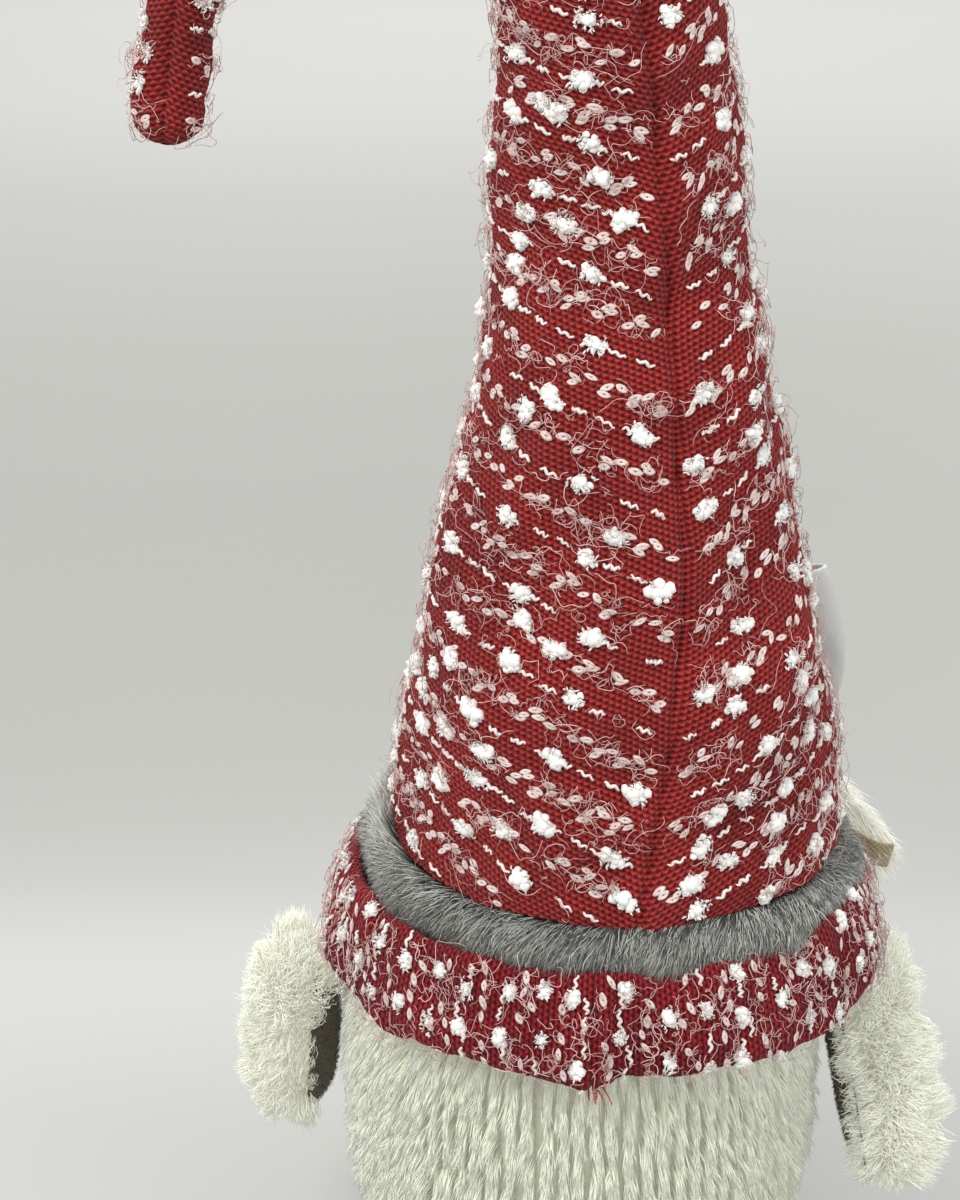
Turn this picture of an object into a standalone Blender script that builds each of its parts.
# Tomte gnome figurine: weighted plush body, fleece arms, knitted collar, fur hair band, beard,
# bow with a twig, and a tall knitted hat on a bendable wire.
# Metres, +Z up. The figure faces -Y, its own left hand is at +X, and the origin is the centre
# of the flat base. Left and right are the figure's own.
from collections import namedtuple
from contextlib import contextmanager
import math

import bmesh
import bpy
from mathutils import Matrix, Vector

for item in list(bpy.data.objects):
    bpy.data.objects.remove(item, do_unlink=True)
for item in list(bpy.data.meshes):
    bpy.data.meshes.remove(item)

# ---------------------------------------------------------------- driving dimensions
TURN_STEPS = 28             # facets round a large turned piece
BASE_STEPS = 40             # facets round the flat base pieces
BODY_R = 0.0672             # plush body, over the pile
BASE_R = 0.0500             # flat base disc
BASE_T = 0.0020
BASE_EDGE = 0.0006          # chamfer of the base disc
HEAD_X = -0.0085            # the head and hair lean a little to the right
COLLAR_X = -0.0060
HAT_BRIM_X = -0.0095

# ---------------------------------------------------------------- finishes
Finish = namedtuple("Finish", "colour rough metal alpha", defaults=(0.0, 1.0))

CREAM_PLUSH = Finish(colour=(0.66, 0.65, 0.52), rough=0.95)
STUFFING = Finish(colour=(0.80, 0.80, 0.78), rough=1.0)
BOARD = Finish(colour=(0.45, 0.33, 0.20), rough=0.85)
PELLETS = Finish(colour=(0.55, 0.54, 0.50), rough=0.8)
HEAD_CLOTH = Finish(colour=(0.62, 0.60, 0.54), rough=0.95)
GREY_FUR = Finish(colour=(0.19, 0.20, 0.205), rough=0.9)
CRIMSON_KNIT = Finish(colour=(0.30, 0.015, 0.028), rough=0.95)
HEM_KNIT = Finish(colour=(0.25, 0.012, 0.02), rough=0.95)
RED_KNIT = Finish(colour=(0.42, 0.035, 0.035), rough=0.95)
STEEL = Finish(colour=(0.50, 0.50, 0.52), rough=0.35, metal=1.0)
NOSE_CLOTH = Finish(colour=(0.62, 0.36, 0.27), rough=0.85)
MOUSTACHE_BACKING = Finish(colour=(0.50, 0.42, 0.30), rough=0.9)
BEARD_BACKING = MOUSTACHE_BACKING._replace(rough=0.95)
RIBBON = Finish(colour=(0.80, 0.80, 0.78), rough=0.6, alpha=0.8)
RIBBON_KNOT = RIBBON._replace(alpha=0.9)
BARK = Finish(colour=(0.16, 0.13, 0.09), rough=0.8)
TWIG = Finish(colour=(0.62, 0.63, 0.55), rough=0.85)
TAUPE_CLOTH = Finish(colour=(0.115, 0.090, 0.070), rough=0.95)
THREAD = Finish(colour=(0.75, 0.74, 0.68), rough=0.9)

SHARP_ANGLE = math.radians(40)

parts = bpy.data.collections.new("tomte_gnome_figurine")
tools = bpy.data.collections.new("cutters")
bpy.context.scene.collection.children.link(parts)
bpy.context.scene.collection.children.link(tools)


def material(name, finish):
    made = bpy.data.materials.new(name)
    made.use_nodes = True
    inputs = made.node_tree.nodes["Principled BSDF"].inputs
    inputs["Base Color"].default_value = (*finish.colour, 1.0)
    inputs["Roughness"].default_value = finish.rough
    inputs["Metallic"].default_value = finish.metal
    inputs["Alpha"].default_value = finish.alpha
    return made


# ---------------------------------------------------------------- object handling
def link_new(name, data):
    ob = bpy.data.objects.new(name, data)
    bpy.context.scene.collection.objects.link(ob)
    return ob


def move_to(collection, ob):
    for owner in list(ob.users_collection):
        owner.objects.unlink(ob)
    collection.objects.link(ob)


def publish(ob, finish):
    """Makes the object a finished part."""
    ob.data.materials.clear()
    ob.data.materials.append(material(ob.name + "_mat", finish))
    move_to(parts, ob)
    ob.data.shade_smooth()
    ob.data.set_sharp_from_angle(angle=SHARP_ANGLE)


def as_tool(ob):
    """Makes the object a hidden cutter."""
    move_to(tools, ob)
    ob.hide_render = True
    ob.display_type = "WIRE"
    return ob


@contextmanager
def editing(mesh):
    bm = bmesh.new()
    bm.from_mesh(mesh)
    yield bm
    bm.to_mesh(mesh)
    bm.free()


def settle(ob):
    """Evaluates modifiers or a curve into a welded mesh object of the same name, faces out."""
    bpy.context.view_layer.update()
    depsgraph = bpy.context.evaluated_depsgraph_get()
    mesh = bpy.data.meshes.new_from_object(ob.evaluated_get(depsgraph))
    with editing(mesh) as bm:
        bmesh.ops.remove_doubles(bm, verts=bm.verts, dist=1e-6)
        bmesh.ops.dissolve_degenerate(bm, edges=bm.edges, dist=1e-7)
        bmesh.ops.recalc_face_normals(bm, faces=bm.faces)
    name, world = ob.name, ob.matrix_world.copy()
    bpy.data.objects.remove(ob, do_unlink=True)
    settled = link_new(name, mesh)
    settled.matrix_world = world
    return settled


def cut(ob, *cutters):
    for cutter in cutters:
        boolean = ob.modifiers.new("cut", "BOOLEAN")
        boolean.operation = "DIFFERENCE"
        boolean.object = cutter
        boolean.solver = "EXACT"
    return settle(ob)


def thicken(ob, thickness, offset=0.0):
    """Gives a sheet its thickness: offset 0 both ways, -1 inwards."""
    solidify = ob.modifiers.new("cloth", "SOLIDIFY")
    solidify.thickness = thickness
    solidify.offset = offset
    return settle(ob)


# ---------------------------------------------------------------- shape makers
def turned(name, profile, centre_x=0.0, steps=TURN_STEPS):
    """Solid of revolution about a vertical axis. The profile (r, z) runs down the outside first;
    it closes on itself unless it starts and ends on the axis."""
    mesh = bpy.data.meshes.new(name)
    with editing(mesh) as bm:
        verts = [bm.verts.new((r, 0.0, z)) for r, z in profile]
        for pair in zip(verts, verts[1:]):
            bm.edges.new(pair)
        if profile[0][0] > 0:
            bm.edges.new((verts[-1], verts[0]))
    ob = link_new(name, mesh)
    ob.location = (centre_x, 0.0, 0.0)
    screw = ob.modifiers.new("turn", "SCREW")
    screw.axis = "Z"
    screw.angle = math.tau
    screw.steps = steps
    screw.render_steps = steps
    screw.use_merge_vertices = True
    screw.merge_threshold = 0.00001
    return settle(ob)


def poly_curve(name, points, dimensions="3D"):
    curve = bpy.data.curves.new(name, "CURVE")
    curve.dimensions = dimensions
    spline = curve.splines.new("POLY")
    spline.points.add(len(points) - 1)
    for point, place in zip(spline.points, points):
        point.co = (*place, 1.0)
    return curve


def swept(name, points, radii, sides, caps=True):
    """Round tube along a poly line with a radius at each point."""
    curve = poly_curve(name, points)
    curve.twist_mode = "MINIMUM"
    curve.bevel_depth = 1.0
    curve.bevel_resolution = sides // 2 - 2
    curve.use_fill_caps = caps
    for point, radius in zip(curve.splines[0].points, radii):
        point.radius = radius
    return settle(link_new(name, curve))


def strip(name, points, half_height, thickness):
    """Upright ribbon along a poly line, thickened both ways."""
    curve = poly_curve(name, points)
    curve.twist_mode = "Z_UP"
    curve.extrude = half_height
    return thicken(settle(link_new(name, curve)), thickness)


def outline_plate(name, outline, thickness):
    """Flat plate with an (x, y) outline, as a filled 2D curve."""
    curve = poly_curve(name, [(x, y, 0.0) for x, y in outline], "2D")
    curve.fill_mode = "BOTH"
    curve.extrude = thickness / 2
    curve.splines[0].use_cyclic_u = True
    return link_new(name, curve)


def ball(name, centre, radii, segments=16, rings=10, turn=(0, 0, 0)):
    mesh = bpy.data.meshes.new(name)
    with editing(mesh) as bm:
        bmesh.ops.create_uvsphere(bm, u_segments=segments, v_segments=rings, radius=1.0)
        bmesh.ops.scale(bm, verts=bm.verts, vec=radii)
    ob = link_new(name, mesh)
    ob.location = centre
    ob.rotation_euler = turn
    return settle(ob)


def box_tool(name, low, high):
    mesh = bpy.data.meshes.new(name)
    with editing(mesh) as bm:
        bmesh.ops.create_cube(bm, size=1.0)
        bmesh.ops.scale(bm, verts=bm.verts, vec=[b - a for a, b in zip(low, high)])
        bmesh.ops.translate(bm, verts=bm.verts, vec=[(a + b) / 2 for a, b in zip(low, high)])
    return as_tool(link_new(name, mesh))


def prism_tool(name, outline, half_depth):
    """Prism with an (x, z) outline, reaching half_depth both ways along Y."""
    mesh = bpy.data.meshes.new(name)
    with editing(mesh) as bm:
        face = bm.faces.new([bm.verts.new((x, -half_depth, z)) for x, z in outline])
        extruded = bmesh.ops.extrude_face_region(bm, geom=[face])["geom"]
        moved = [part for part in extruded if isinstance(part, bmesh.types.BMVert)]
        bmesh.ops.translate(bm, verts=moved, vec=(0, 2 * half_depth, 0))
        bmesh.ops.recalc_face_normals(bm, faces=bm.faces)
    return as_tool(link_new(name, mesh))


# ---------------------------------------------------------------- turned pieces, base to hat hem
# name, finish, centre x, steps, profile (r, z)
TURNED_PIECES = [
    ("base_cover", CREAM_PLUSH, 0.0, BASE_STEPS, [
        (0, BASE_T), (BASE_R - BASE_EDGE, BASE_T), (BASE_R, BASE_T - BASE_EDGE),
        (BASE_R, BASE_EDGE), (BASE_R - BASE_EDGE, 0.0), (0, 0.0)]),
    ("base_board", BOARD, 0.0, BASE_STEPS, [
        (0, 0.0052), (0.0488, 0.0052), (0.0488, 0.0030), (0, 0.0030)]),
    ("pellet_bag", PELLETS, 0.0, TURN_STEPS, [
        (0, 0.0290), (0.0350, 0.0280), (0.0455, 0.0230), (0.0482, 0.0160), (0.0478, 0.0095),
        (0.0440, 0.0062), (0, 0.0062)]),
    ("body_stuffing", STUFFING, 0.0, TURN_STEPS, [
        (0, 0.1225), (0.0420, 0.1215), (0.0490, 0.1185), (0.0545, 0.1110), (0.0575, 0.1030),
        (0.0590, 0.0950), (0.0592, 0.0820), (0.0590, 0.0660), (0.0572, 0.0490),
        (0.0537, 0.0335), (0.0440, 0.0305), (0, 0.0300)]),
    ("body_cover", CREAM_PLUSH, 0.0, TURN_STEPS, [
        # outside, downwards
        (0.0560, 0.1240), (0.0600, 0.1190), (0.0632, 0.1120), (0.0660, 0.1040),
        (0.0670, 0.0950), (BODY_R, 0.0820), (0.0670, 0.0660), (0.0650, 0.0490),
        (0.0606, 0.0320), (0.0566, 0.0180), (0.0545, 0.0080), (0.0535, 0.0025),
        # inside, upwards
        (0.0508, 0.0025), (0.0510, 0.0100), (0.0520, 0.0180), (0.0552, 0.0320),
        (0.0588, 0.0490), (0.0604, 0.0660), (0.0606, 0.0820), (0.0604, 0.0950),
        (0.0592, 0.1040), (0.0565, 0.1120), (0.0530, 0.1185), (0.0505, 0.1235)]),
    ("head_cover", HEAD_CLOTH, HEAD_X, TURN_STEPS, [
        (0, 0.1850), (0.0200, 0.1840), (0.0360, 0.1800), (0.0460, 0.1720), (0.0500, 0.1620),
        (0.0505, 0.1500), (0.0505, 0.1250),
        (0.0490, 0.1250), (0.0490, 0.1500), (0.0485, 0.1615), (0.0446, 0.1710),
        (0.0350, 0.1786), (0.0195, 0.1825), (0, 0.1835)]),
    ("head_stuffing", STUFFING, HEAD_X, TURN_STEPS, [
        (0, 0.1825), (0.0190, 0.1815), (0.0340, 0.1775), (0.0434, 0.1700), (0.0474, 0.1610),
        (0.0480, 0.1500), (0.0480, 0.1255), (0, 0.1255)]),
    ("hair_band", GREY_FUR, HEAD_X, TURN_STEPS, [
        (0.0525, 0.1620), (0.0527, 0.1554), (0.0630, 0.1545), (0.0672, 0.1515),
        (0.0678, 0.1480), (0.0640, 0.1470), (0.0634, 0.1300), (0.0620, 0.1272),
        (0.0514, 0.1272), (0.0514, 0.1620)]),
    ("knit_collar", CRIMSON_KNIT, COLLAR_X, TURN_STEPS, [
        (0.0700, 0.1462), (0.0738, 0.1400), (0.0764, 0.1300), (0.0775, 0.1225),
        (0.0768, 0.1192), (0.0748, 0.1183), (0.0712, 0.1190), (0.0692, 0.1260),
        (0.0678, 0.1350), (0.0674, 0.1440)]),
    ("hat_brim_hem", HEM_KNIT, HAT_BRIM_X, TURN_STEPS, [
        (0.0556, 0.1690), (0.0570, 0.1572), (0.0554, 0.1572), (0.0542, 0.1690)]),
]
for name, finish, centre_x, steps, profile in TURNED_PIECES:
    publish(turned(name, profile, centre_x, steps), finish)

# ---------------------------------------------------------------- hat on its wire
# Centre line from the brim over the arch to the hanging end: (x, z, radius)
HAT_LINE = [
    (HAT_BRIM_X, 0.1560, 0.0600), (-0.0092, 0.2000, 0.0558), (-0.0090, 0.2500, 0.0465),
    (-0.0088, 0.3060, 0.0350), (-0.0068, 0.3450, 0.0311), (-0.0034, 0.3835, 0.0295),
    (0.0030, 0.4150, 0.0278), (0.0140, 0.4420, 0.0252), (0.0310, 0.4605, 0.0225),
    (0.0510, 0.4670, 0.0197), (0.0710, 0.4615, 0.0168), (0.0870, 0.4440, 0.0142),
    (0.0965, 0.4180, 0.0115), (0.1028, 0.3835, 0.0094), (0.1072, 0.3555, 0.0085),
]
LAST_ROW = len(HAT_LINE) - 1
# Bends in the wire: row of HAT_LINE, lowest and highest angle in degrees
JOINT_RANGE = {4: (-20.0, 15.0), 7: (-45.0, 15.0), 11: (-50.0, 20.0)}
# name, first row, last row, facets round the cloth
HAT_SECTIONS = [("lower", 0, 4, 28), ("mid", 4, 7, 24), ("crown", 7, 11, 20),
                ("tip", 11, LAST_ROW, 16)]
CLOTH_PER_ROW = 2           # centre line points for each row of HAT_LINE
WIRE_PER_ROW = 3
KNIT_T = 0.0022             # knitted fabric
STUFF_GAP = 0.0011          # between knit and filling
FILL_INSET = KNIT_T + STUFF_GAP
FILL_START_Z = 0.1870       # the filling and the wire start above the head
WIRE_START_Z = 0.189
WIRE_R = 0.0012
WIRE_HOLE_R = 0.0024
WIRE_SIDES = 8
WIRE_HOLE_OVERRUN = 0.02
WIRE_STOP = 0.0032          # from a bend to the wire's end
WIRE_CLEAR = 0.0042         # centre line points nearer to the bend than this are left out
BEND_GAP = 0.0004           # from a bend to the point of each wedge
BEND_MARGIN = 1.5           # degrees that a wedge opens beyond its half of the range
BEND_OVERRUN = 0.005        # cloth past the bend, before it is trimmed
WEDGE_REACH = 0.050
WEDGE_HALF_DEPTH = 0.060
KNIT_END_ANGLES = (25, 48, 68, 84)      # rings of the rounded end, degrees
FILL_END_ANGLES = (28, 50)
END_RIM_REACH = 0.004       # the last ring's edges lie this near to the end point


def hat_row(row):
    x, z, radius = HAT_LINE[row]
    return Vector((x, 0.0, z)), radius


def hat_tangent(row):
    before, _ = hat_row(max(row - 1, 0))
    after, _ = hat_row(min(row + 1, LAST_ROW))
    return (after - before).normalized()


def hat_points(first, last, per_row):
    """Centre line points and radii between two rows, on a Catmull-Rom curve."""
    points, radii = [], []
    for row in range(first, last):
        p0, p1, p2, p3 = (Vector(HAT_LINE[min(max(near, 0), LAST_ROW)])
                          for near in range(row - 1, row + 3))
        for k in range(per_row):
            t = k / per_row
            station = 0.5 * (2 * p1 + (p2 - p0) * t + (2 * p0 - 5 * p1 + 4 * p2 - p3) * t * t
                             + (3 * p1 - p0 - 3 * p2 + p3) * t ** 3)
            points.append(Vector((station.x, 0.0, station.y)))
            radii.append(station.z)
    point, radius = hat_row(last)
    return points + [point], radii + [radius]


def wedge(row, keep):
    """Cutter for the fabric and filling at a bend: it leaves the room that the bend needs.
    keep 'before' removes what lies past the bend, keep 'after' what lies ahead of it."""
    bend, _ = hat_row(row)
    tangent = hat_tangent(row)
    outward = Vector((-tangent.z, 0.0, tangent.x))      # to the outside of the arch
    forward = tangent if keep == "before" else -tangent
    low, high = JOINT_RANGE[row]
    inner = math.radians(high / 2 + BEND_MARGIN)
    outer = math.radians(-low / 2 + BEND_MARGIN)
    point = bend - forward * BEND_GAP
    inside = point + (-outward * math.cos(inner) - forward * math.sin(inner)) * WEDGE_REACH
    outside = point + (outward * math.cos(outer) - forward * math.sin(outer)) * WEDGE_REACH
    outline = [point, inside, inside + forward * WEDGE_REACH,
               outside + forward * WEDGE_REACH, outside]
    return prism_tool("bend_%d_%s" % (row, keep), [(q.x, q.z) for q in outline],
                      WEDGE_HALF_DEPTH)


def rounded_end(row, inset, angles):
    """Points and radii that round off a closed end past the row."""
    centre, radius = hat_row(row)
    radius -= inset
    tangent = hat_tangent(row)
    turns = [math.radians(angle) for angle in angles]
    return ([centre + tangent * radius * math.sin(turn) for turn in turns],
            [radius * math.cos(turn) for turn in turns])


def close_end(mesh, end):
    """Fills the open ring round the end point."""
    with editing(mesh) as bm:
        rim = [edge for edge in bm.edges if edge.is_boundary
               and all((vert.co - end).length < END_RIM_REACH for vert in edge.verts)]
        bmesh.ops.contextual_create(bm, geom=rim)
        bmesh.ops.recalc_face_normals(bm, faces=bm.faces)


def stop_at_bend(points, row):
    """Makes a line that starts at a bend start a little way from it."""
    bend, _ = hat_row(row)
    kept = [point for point in points if (point - bend).length > WIRE_CLEAR]
    return [bend + (kept[0] - bend).normalized() * WIRE_STOP] + kept


def hat_cloth(section, first, last, sides, wire_hole):
    """Knitted tube and its filling."""
    points, radii = hat_points(first, last, CLOTH_PER_ROW)
    knives = []
    if first in JOINT_RANGE:
        knives.append(wedge(first, "after"))
        points.insert(0, hat_row(first)[0] - hat_tangent(first) * BEND_OVERRUN)
        radii.insert(0, radii[0])
    if last in JOINT_RANGE:
        knives.append(wedge(last, "before"))
        points.append(hat_row(last)[0] + hat_tangent(last) * BEND_OVERRUN)
        radii.append(radii[-1])

    fill_points, fill_radii = list(points), [radius - FILL_INSET for radius in radii]
    if section == "lower":
        start = next(k for k, point in enumerate(points) if point.z > FILL_START_Z)
        fill_points, fill_radii = fill_points[start:], fill_radii[start:]
    closed = last not in JOINT_RANGE
    if closed:
        end_points, end_radii = rounded_end(last, 0.0, KNIT_END_ANGLES)
        points += end_points
        radii += end_radii
        end_points, end_radii = rounded_end(last, FILL_INSET, FILL_END_ANGLES)
        fill_points += end_points
        fill_radii += end_radii

    knit = swept("hat_knit_" + section, points, radii, sides, caps=False)
    if closed:
        close_end(knit.data, points[-1])
    publish(cut(thicken(knit, KNIT_T, offset=-1.0), *knives), RED_KNIT)
    filling = swept("hat_stuffing_" + section, fill_points, fill_radii, sides)
    publish(cut(filling, wire_hole, *knives), STUFFING)


def hat_wire(section, first, last):
    """Length of wire that stops short of the bends."""
    points, _ = hat_points(first, last, WIRE_PER_ROW)
    if section == "lower":
        points = [point for point in points if point.z > WIRE_START_Z]
    if first in JOINT_RANGE:
        points = stop_at_bend(points, first)
    if last in JOINT_RANGE:
        points = stop_at_bend(points[::-1], last)[::-1]
    publish(swept("hat_wire_" + section, points, [WIRE_R] * len(points), WIRE_SIDES), STEEL)


def build_hat():
    line, _ = hat_points(0, LAST_ROW, WIRE_PER_ROW)
    line.append(line[-1] + hat_tangent(LAST_ROW) * WIRE_HOLE_OVERRUN)
    wire_hole = as_tool(swept("wire_hole", line, [WIRE_HOLE_R] * len(line), WIRE_SIDES))
    for section, first, last, sides in HAT_SECTIONS:
        hat_cloth(section, first, last, sides, wire_hole)
        hat_wire(section, first, last)


build_hat()

# ---------------------------------------------------------------- nose and moustache
NOSE_R = 0.0130
publish(ball("nose", (-0.0060, -0.0830, 0.1615), (NOSE_R, NOSE_R, NOSE_R)), NOSE_CLOTH)

BACKING_R = 0.0806          # moustache backing, round the collar's axis
BACKING_Z = 0.1402
BACKING_HALF_HEIGHT = 0.0064
BACKING_T = 0.0010
BACKING_ANGLES = (-62, 50)  # degrees from straight ahead, negative to the right
BACKING_PIECES = 14


def backing_line():
    """Arc round the front of the collar."""
    start, end = BACKING_ANGLES
    angles = [math.radians(start + (end - start) * k / BACKING_PIECES)
              for k in range(BACKING_PIECES + 1)]
    return [(COLLAR_X + BACKING_R * math.sin(angle), -BACKING_R * math.cos(angle), BACKING_Z)
            for angle in angles]


publish(strip("moustache_backing", backing_line(), BACKING_HALF_HEIGHT, BACKING_T),
        MOUSTACHE_BACKING)

# Lobes from the middle outwards: (distance from COLLAR_X, y, z, radius)
LOBE_START = [
    (0.0062, -0.0905, 0.1405, 0.0055), (0.0140, -0.0905, 0.1405, 0.0078),
    (0.0265, -0.0880, 0.1408, 0.0082), (0.0465, -0.0795, 0.1395, 0.0080),
]
LEFT_LOBE_END = [(0.0590, -0.0690, 0.1330, 0.0055), (0.0660, -0.0605, 0.1290, 0.0022)]
RIGHT_LOBE_END = [
    (0.0645, -0.0640, 0.1372, 0.0070), (0.0765, -0.0460, 0.1350, 0.0056),
    (0.0822, -0.0340, 0.1340, 0.0024),
]
for side, sign, lobe_end in (("left", 1.0, LEFT_LOBE_END), ("right", -1.0, RIGHT_LOBE_END)):
    lobe = LOBE_START + lobe_end
    publish(swept("moustache_" + side, [(COLLAR_X + sign * x, y, z) for x, y, z, _ in lobe],
                  [radius for *_, radius in lobe], 14), CREAM_PLUSH)

# ---------------------------------------------------------------- beard
BEARD_PIVOT = (-0.0060, -0.0801, 0.1240)    # middle of the top edge
BEARD_LEAN = 4.5            # degrees that the lower end stands forward
# Half outline from the top edge down: (half width, y in the plate)
BEARD_HALF = [
    (0.0340, 0.0), (0.0365, -0.012), (0.0370, -0.030), (0.0310, -0.048),
    (0.0215, -0.063), (0.0110, -0.075), (0.0040, -0.0800),
]
# name, thickness, middle in front of the pivot, growth of the outline, finish
BEARD_LAYERS = [
    ("beard_backing", 0.0012, 0.0, -0.0015, BEARD_BACKING),
    ("beard_fur", 0.0060, 0.0042, 0.0, CREAM_PLUSH),
]


def beard_outline(grow):
    """Whole outline, grown at the sides and below; the top edge keeps its height."""
    half = [(x + grow, y - (grow if k else 0)) for k, (x, y) in enumerate(BEARD_HALF)]
    return half + [(-x, y) for x, y in reversed(half)]


for name, thickness, forward, grow, finish in BEARD_LAYERS:
    plate = outline_plate(name, beard_outline(grow), thickness)
    plate.matrix_world = (Matrix.Translation(BEARD_PIVOT)
                          @ Matrix.Rotation(math.radians(90 - BEARD_LEAN), 4, "X")
                          @ Matrix.Translation((0, 0, forward)))
    publish(settle(plate), finish)

# ---------------------------------------------------------------- bow on the front of the hat
BOW = Vector((-0.0320, -0.0655, 0.1900))
BOW_ALONG = Vector((-0.933, 0.360, 0.0)).normalized()   # along the bow, towards the right
BOW_OUT = Vector((-0.360, -0.933, 0.0)).normalized()    # away from the hat
RIBBON_T = 0.0006
KNOT_OUT = 0.0062           # middle of the knot and of the loops, out from BOW
LOOP_START = 0.0072         # a loop's inner end, along the bow
LOOP_START_HALF = 0.0060    # half width there
LOOP_DEPTH = 0.0078         # largest half distance between the two layers of a loop
TAIL_TOP = 0.0085           # a tail's upper end, below BOW


def bow_point(along, out, up):
    return BOW + BOW_ALONG * along + BOW_OUT * out + Vector((0, 0, up))


def ribbon(name, rows, columns, place):
    """Sheet of ribbon; place gives the point at u (0 to 1 lengthwise), w (-1 to 1 across)."""
    mesh = bpy.data.meshes.new(name)
    with editing(mesh) as bm:
        grid = bmesh.ops.create_grid(bm, x_segments=rows, y_segments=columns, size=1.0)
        for vert in grid["verts"]:
            vert.co = place((vert.co.x + 1) / 2, vert.co.y)
    publish(thicken(link_new(name, mesh), RIBBON_T), RIBBON)


def ribbon_loop(name, sign, length, end_half, tilt):
    """It leaves the knot close to the hat, turns back at its end and returns further out."""
    def place(u, w):
        angle = -math.pi / 2 + math.pi * u      # -90 deg on the hat side, +90 deg outside
        reach = max(math.cos(angle), 0.0) ** 0.75
        run = (length * (1.0 - 0.16 * w * w) - LOOP_START) * reach      # bulging end
        out = KNOT_OUT + LOOP_DEPTH * math.sin(angle) * (0.22 + 0.78 * reach ** 0.5)
        half = LOOP_START_HALF + (end_half - LOOP_START_HALF) * reach ** 0.9
        return bow_point(sign * (LOOP_START + run), out, w * half + tilt * run)

    ribbon(name, 22, 4, place)


def ribbon_tail(name, drift, length, layer):
    """A loose end that hangs from the knot, widens downwards and waves a little.
    drift is its way to the right for each metre down, layer its top's distance out."""
    def place(u, w):
        down = TAIL_TOP + u * (length - TAIL_TOP)
        half = 0.0035 + 0.0065 * min(1.0, u * 1.6)
        out = layer + 0.0045 * u + 0.0012 * math.sin(u * 7.0)
        return bow_point(drift * down + w * half, out, -down)

    ribbon(name, 8, 2, place)


ribbon_loop("bow_loop_right", 1.0, length=0.0470, end_half=0.0262, tilt=-0.20)
ribbon_loop("bow_loop_left", -1.0, length=0.0450, end_half=0.0220, tilt=0.22)
publish(ball("bow_knot", BOW + BOW_OUT * KNOT_OUT, (0.0056, 0.0066, 0.0078),
             turn=(0, 0, math.atan2(BOW_ALONG.y, BOW_ALONG.x))), RIBBON_KNOT)
ribbon_tail("bow_tail_right", drift=0.62, length=0.0350, layer=0.0008)
ribbon_tail("bow_tail_left", drift=0.06, length=0.0330, layer=0.0028)

# ---------------------------------------------------------------- sprig behind the bow
# Stem from the bow upwards: (x, y, z, radius)
STEM = [
    (-0.0205, -0.0640, 0.2010, 0.0012), (-0.0150, -0.0585, 0.2180, 0.0011),
    (-0.0060, -0.0520, 0.2480, 0.0010), (0.0040, -0.0460, 0.2780, 0.0009),
    (0.0130, -0.0395, 0.3040, 0.0008), (0.0195, -0.0345, 0.3240, 0.0005),
]
# row of STEM below the twig, part of the way to the next row, side (+1 left), length
TWIGS = [(1, 0.3, -1.0, 0.026), (2, 0.2, 1.0, 0.026), (3, 0.2, -1.0, 0.022),
         (4, 0.1, 1.0, 0.018)]
TWIG_STATIONS = [(0, 0.0007), (0.4, 0.0030), (0.75, 0.0022), (1, 0.0004)]   # part, radius
TWIG_STANDOFF = 0.0018      # from the stem's centre line

stem_points = [Vector(row[:3]) for row in STEM]
publish(swept("sprig_stem", stem_points, [row[3] for row in STEM], 8), BARK)
for number, (row, part, lean, length) in enumerate(TWIGS, 1):
    below, above = stem_points[row:row + 2]
    away = Vector((0.55 * lean, -0.83, 0.0)).normalized()
    base = below.lerp(above, part) + away * TWIG_STANDOFF
    heading = ((above - below).normalized() * 0.82 + away * 0.57).normalized()
    tip = base + heading * length
    publish(swept("sprig_twig_%d" % number, [base.lerp(tip, at) for at, _ in TWIG_STATIONS],
                  [radius for _, radius in TWIG_STATIONS], 10), TWIG)

# ---------------------------------------------------------------- arms
SHOULDER_X = 0.0807         # shoulder stitch, each side
SHOULDER_Z = 0.1055
ARM_R = 0.0120
ARM_LEN = 0.0560            # shoulder stitch to finger end
ARM_CORE_END = -0.0430      # lower end of the arm's straight middle line
HAND_WIDTH = 1.22           # the hand is wider than the upper arm
WIDEN_FROM = 0.006          # the widening starts this far below the stitch
WIDEN_LENGTH = 0.028
SLEEVE_WALL = 0.0050
PALM_WALL = 0.0013
FILLING_INSET = 0.0054
SLEEVE_SIDE_X = -0.0040     # the sleeve lies outside this plane
PALM_SIDE_X = -0.0045       # the palm lies on the body side of this one
FILLING_TOP_Z = -0.0045
SLOT_HALF_DEPTH = 0.0021
SLOT_CORNER = 0.0035
SLOT_REACH = 0.020
# side, sign of x, swing in degrees (negative is forward), spread away from the body in degrees
ARMS = [("left", 1.0, -25.0, 4.0), ("right", -1.0, 25.0, 9.0)]

# Arm about its shoulder stitch: (r, z)
ARM_PROFILE = [
    (0.0, ARM_R), (0.0046, 0.0111), (0.0085, 0.0085), (0.0111, 0.0046), (ARM_R, 0.0),
    (ARM_R, -0.0150), (ARM_R, -0.0330), (0.0113, -0.0435), (0.0092, -0.0502),
    (0.0052, -0.0546), (0.0, -ARM_LEN),
]
# Thread with a bead at the stitch, a thin stalk and a flat end: (r, z)
THREAD_PROFILE = [
    (0.0, 0.0020), (0.0014, 0.0014), (0.0020, 0.0), (0.0014, -0.0014), (0.0006, -0.0019),
    (0.0006, -0.0125), (0.0024, -0.0125), (0.0024, -0.0132), (0.0, -0.0132),
]


def shrunk(profile, inset):
    """The profile moved in: each point keeps its direction from the arm's middle line."""
    moved = []
    for r, z in profile:
        core_z = min(0.0, max(z, ARM_CORE_END))
        distance = math.hypot(r, z - core_z)
        scale = max(distance - inset, 0.0) / distance
        moved.append((r * scale, core_z + (z - core_z) * scale))
    return moved


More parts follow.
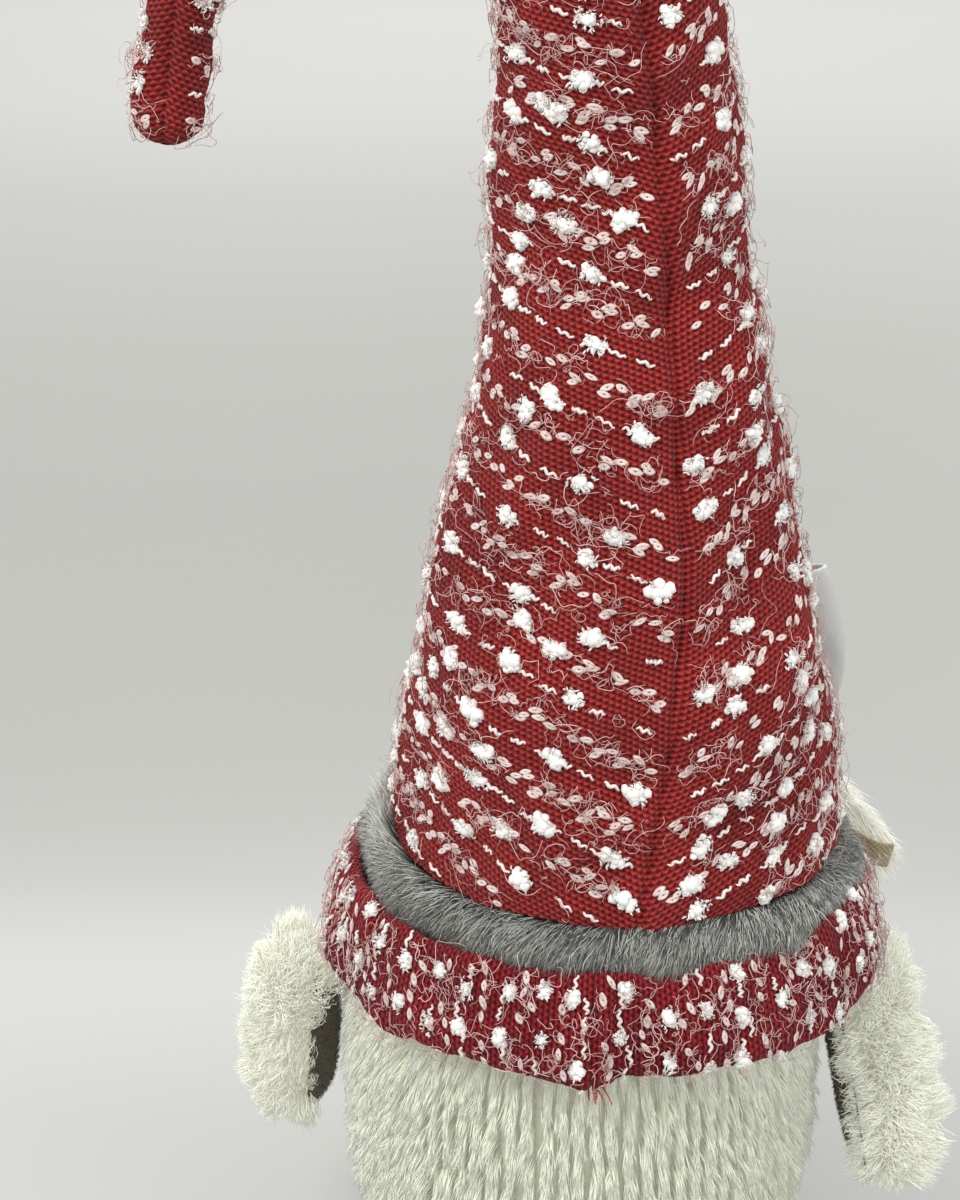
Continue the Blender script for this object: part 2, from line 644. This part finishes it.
def arm_shape(name, inset):
    """The arm about its shoulder stitch, moved in, and widened along Y towards the hand."""
    ob = turned(name, shrunk(ARM_PROFILE, inset), steps=20)
    for vert in ob.data.vertices:
        u = min(1.0, max(0.0, (-vert.co.z - WIDEN_FROM) / WIDEN_LENGTH))
        vert.co.y *= 1.0 + (HAND_WIDTH - 1.0) * u * u * (3 - 2 * u)
    return ob


def thread_slot(side):
    """Fan-shaped slot from the stitch through the body side and the top of the arm."""
    arc = [math.radians(angle) for angle in range(195, 94, -20)]
    fan = [(SLOT_CORNER, -SLOT_CORNER)]
    fan += [(SLOT_REACH * math.cos(angle), SLOT_REACH * math.sin(angle)) for angle in arc]
    fan.append((SLOT_CORNER, SLOT_CORNER))
    return prism_tool("thread_slot_" + side, fan, SLOT_HALF_DEPTH)


def arm_thumb(side):
    thumb = ball("thumb_" + side, (-0.0030, -0.0204, -0.0330), (0.0050, 0.0048, 0.0100),
                 segments=12, rings=8, turn=(math.radians(-14), 0, 0))
    thumb.data.transform(thumb.matrix_world)    # the origin goes to the shoulder stitch
    return thumb


def shoulder_thread(side):
    thread = turned("shoulder_thread_" + side, THREAD_PROFILE, steps=12)
    thread.data.transform(Matrix.Rotation(math.radians(90), 4, "Y"))   # stalk to the body
    return thread


def build_arm(side, sign, swing, spread):
    """The pieces are made as a left arm about the stitch, +x away from the body, then placed."""
    hollow = as_tool(arm_shape("hollow_" + side, SLEEVE_WALL))
    hollow_palm = as_tool(arm_shape("hollow_palm_" + side, PALM_WALL))
    body_side = box_tool("body_side_" + side, (-0.05, -0.05, -0.08), (SLEEVE_SIDE_X, 0.05, 0.05))
    away_side = box_tool("away_side_" + side, (PALM_SIDE_X, -0.05, -0.08), (0.05, 0.05, 0.05))
    slot = thread_slot(side)

    sleeve = cut(arm_shape("sleeve_" + side, 0.0), hollow, body_side, slot)
    palm = cut(arm_shape("palm_" + side, 0.0), hollow_palm, away_side, slot)
    filling = arm_shape("arm_stuffing_" + side, FILLING_INSET)
    top = box_tool("filling_top_" + side, (-0.02, -0.02, FILLING_TOP_Z), (0.02, 0.02, 0.02))
    filling = cut(filling, top)

    hung = (Matrix.Translation((sign * SHOULDER_X, 0.0, SHOULDER_Z))
            @ Matrix.Rotation(math.radians(swing), 4, "X"))
    spread_out = hung @ Matrix.Rotation(math.radians(-sign * spread), 4, "Y")
    for ob, finish, place in ((sleeve, CREAM_PLUSH, spread_out),
                              (palm, TAUPE_CLOTH, spread_out),
                              (filling, STUFFING, spread_out),
                              (arm_thumb(side), TAUPE_CLOTH, spread_out),
                              (shoulder_thread(side), THREAD, hung)):
        if sign < 0:
            ob.data.transform(Matrix.Diagonal((-1.0, 1.0, 1.0, 1.0)))
        with editing(ob.data) as bm:
            bmesh.ops.recalc_face_normals(bm, faces=bm.faces)
        ob.matrix_world = place
        publish(ob, finish)


for arm in ARMS:
    build_arm(*arm)
